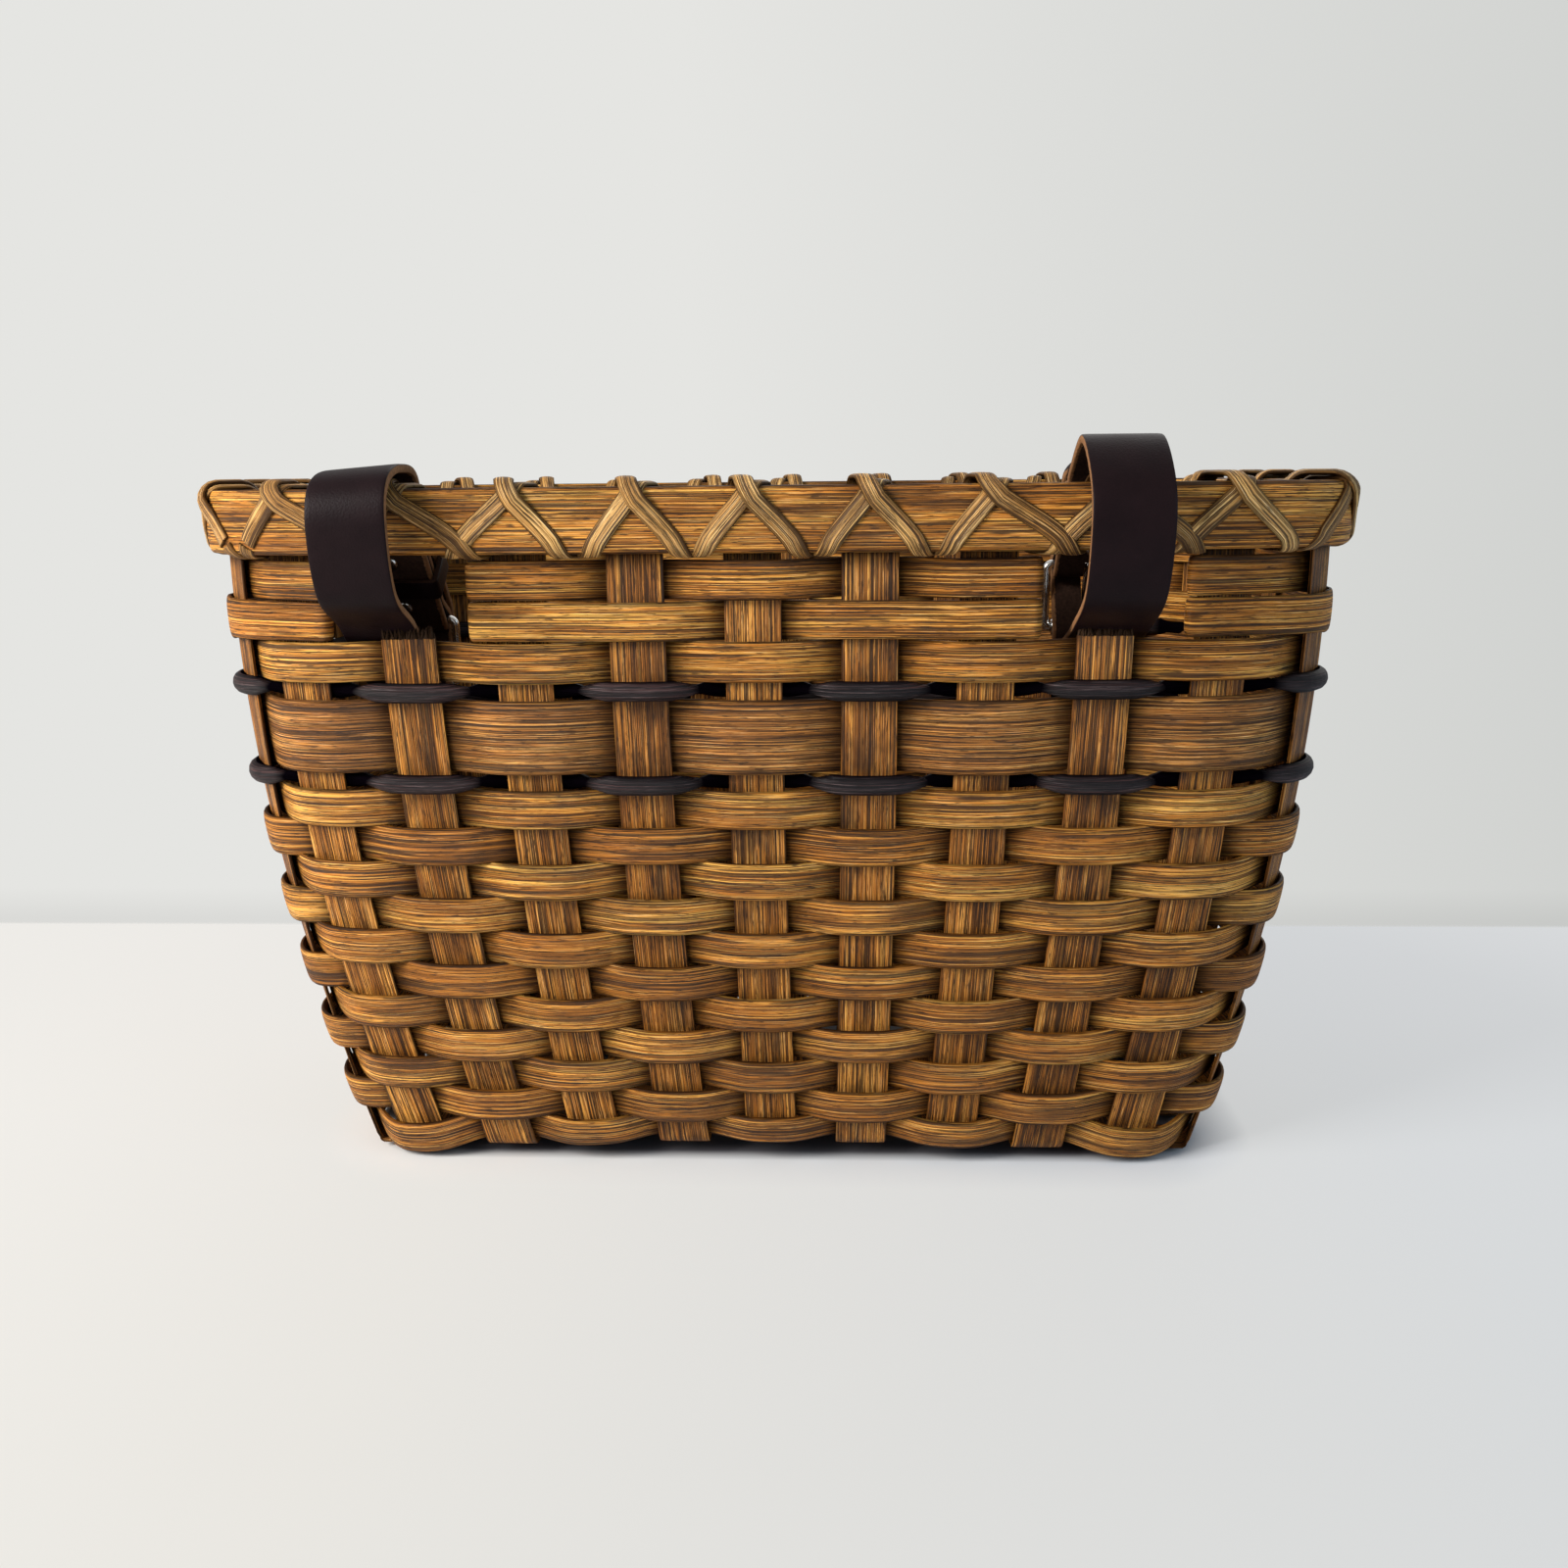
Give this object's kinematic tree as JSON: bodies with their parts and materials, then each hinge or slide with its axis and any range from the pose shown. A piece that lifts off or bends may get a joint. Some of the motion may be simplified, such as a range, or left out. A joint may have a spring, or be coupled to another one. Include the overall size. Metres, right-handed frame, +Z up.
{
  "type": "bicycle basket",
  "caption": "Flared woven reed basket with a lashed rim and buckled leather straps that pass through its wall, for carrying things on a bicycle's handlebar.",
  "frame": {"origin": "on the floor, on the underside of the middle long stake, below the middle of the rim", "axes": "+X along the basket's length, +Z up, the strap side faces -Y"},
  "size_m": [0.4098, 0.2509, 0.2663],
  "materials": {
    "stained_reed": "satin, stained honey brown with darker grain",
    "dyed_reed": "satin, dyed dark brown",
    "leather": "smooth dark brown grain side with a tan cut edge",
    "nickel": "bright nickel plate"
  },
  "bodies": {
    "basket": {"cross_stake_1": "stained_reed", "cross_stake_2": "stained_reed", "cross_stake_3": "stained_reed", "cross_stake_4": "stained_reed", "cross_stake_5": "stained_reed", "cross_stake_6": "stained_reed", "cross_stake_7": "stained_reed", "cross_stake_8": "stained_reed", "cross_stake_9": "stained_reed", "long_stake_1": "stained_reed", "long_stake_2": "stained_reed", "long_stake_3": "stained_reed", "long_stake_4": "stained_reed", "long_stake_5": "stained_reed", "weaver_row_01": "stained_reed", "weaver_row_02": "stained_reed", "weaver_row_03": "stained_reed", "weaver_row_04": "stained_reed", "weaver_row_05": "stained_reed", "weaver_row_06": "stained_reed", "weaver_row_07": "stained_reed", "weaver_row_08": "stained_reed", "weaver_row_09": "stained_reed", "weaver_row_10": "stained_reed", "weaver_row_11": "stained_reed", "weaver_row_15": "stained_reed", "wide_weaver": "stained_reed", "weaver_row_16_front": "stained_reed", "weaver_row_16_around": "stained_reed", "weaver_row_17_front": "stained_reed", "weaver_row_17_around": "stained_reed", "rim_weaver": "stained_reed", "rim_band_outer": "stained_reed", "rim_band_inner": "stained_reed", "lashing_rising": "stained_reed", "lashing_falling": "stained_reed", "dyed_reed_lower": "dyed_reed", "dyed_reed_upper": "dyed_reed"},
    "strap_left": {"strap_left": "leather", "strap_rivet_left_1": "nickel", "strap_rivet_left_2": "nickel"},
    "keeper_left": {"strap_keeper_left": "leather"},
    "buckle_left": {"buckle_frame_left": "nickel"},
    "prong_left": {"buckle_prong_left": "nickel"},
    "roller_left": {"buckle_roller_left": "nickel"},
    "strap_right": {"strap_right": "leather", "strap_rivet_right_1": "nickel", "strap_rivet_right_2": "nickel"},
    "keeper_right": {"strap_keeper_right": "leather"},
    "buckle_right": {"buckle_frame_right": "nickel"},
    "prong_right": {"buckle_prong_right": "nickel"},
    "roller_right": {"buckle_roller_right": "nickel"}
  },
  "joints": [
    {"name": "strap_swing_left", "type": "hinge", "parent": "basket", "child": "strap_left", "pos_m": [-0.131, -0.10327, 0.24055], "axis": [1, 0, 0], "range_deg": [0, 8]},
    {"name": "keeper_slide_left", "type": "slide", "parent": "strap_left", "child": "keeper_left", "axis": [0, -0.6428, 0.766], "range_m": [-0.003, 0.004]},
    {"name": "buckle_swing_left", "type": "hinge", "parent": "strap_left", "child": "buckle_left", "pos_m": [-0.131, -0.06127, 0.2043], "axis": [1, 0, 0], "range_deg": [0, 8]},
    {"name": "prong_lift_left", "type": "hinge", "parent": "buckle_left", "child": "prong_left", "pos_m": [-0.131, -0.06127, 0.2043], "axis": [1, 0, 0], "range_deg": [0, 22]},
    {"name": "roller_turn_left", "type": "hinge", "parent": "buckle_left", "child": "roller_left", "pos_m": [-0.131, -0.05927, 0.18139], "axis": [1, 0, 0], "continuous": true},
    {"name": "strap_swing_right", "type": "hinge", "parent": "basket", "child": "strap_right", "pos_m": [0.113, -0.10431, 0.24055], "axis": [1, 0, 0], "range_deg": [0, 12]},
    {"name": "keeper_slide_right", "type": "slide", "parent": "strap_right", "child": "keeper_right", "axis": [0, -0.6428, 0.766], "range_m": [-0.003, 0.004]},
    {"name": "buckle_swing_right", "type": "hinge", "parent": "strap_right", "child": "buckle_right", "pos_m": [0.113, -0.05431, 0.2223], "axis": [1, 0, 0], "range_deg": [0, 8]},
    {"name": "prong_lift_right", "type": "hinge", "parent": "buckle_right", "child": "prong_right", "pos_m": [0.113, -0.05431, 0.2223], "axis": [1, 0, 0], "range_deg": [0, 22]},
    {"name": "roller_turn_right", "type": "hinge", "parent": "buckle_right", "child": "roller_right", "pos_m": [0.113, -0.0523, 0.19939], "axis": [1, 0, 0], "continuous": true}
  ]
}
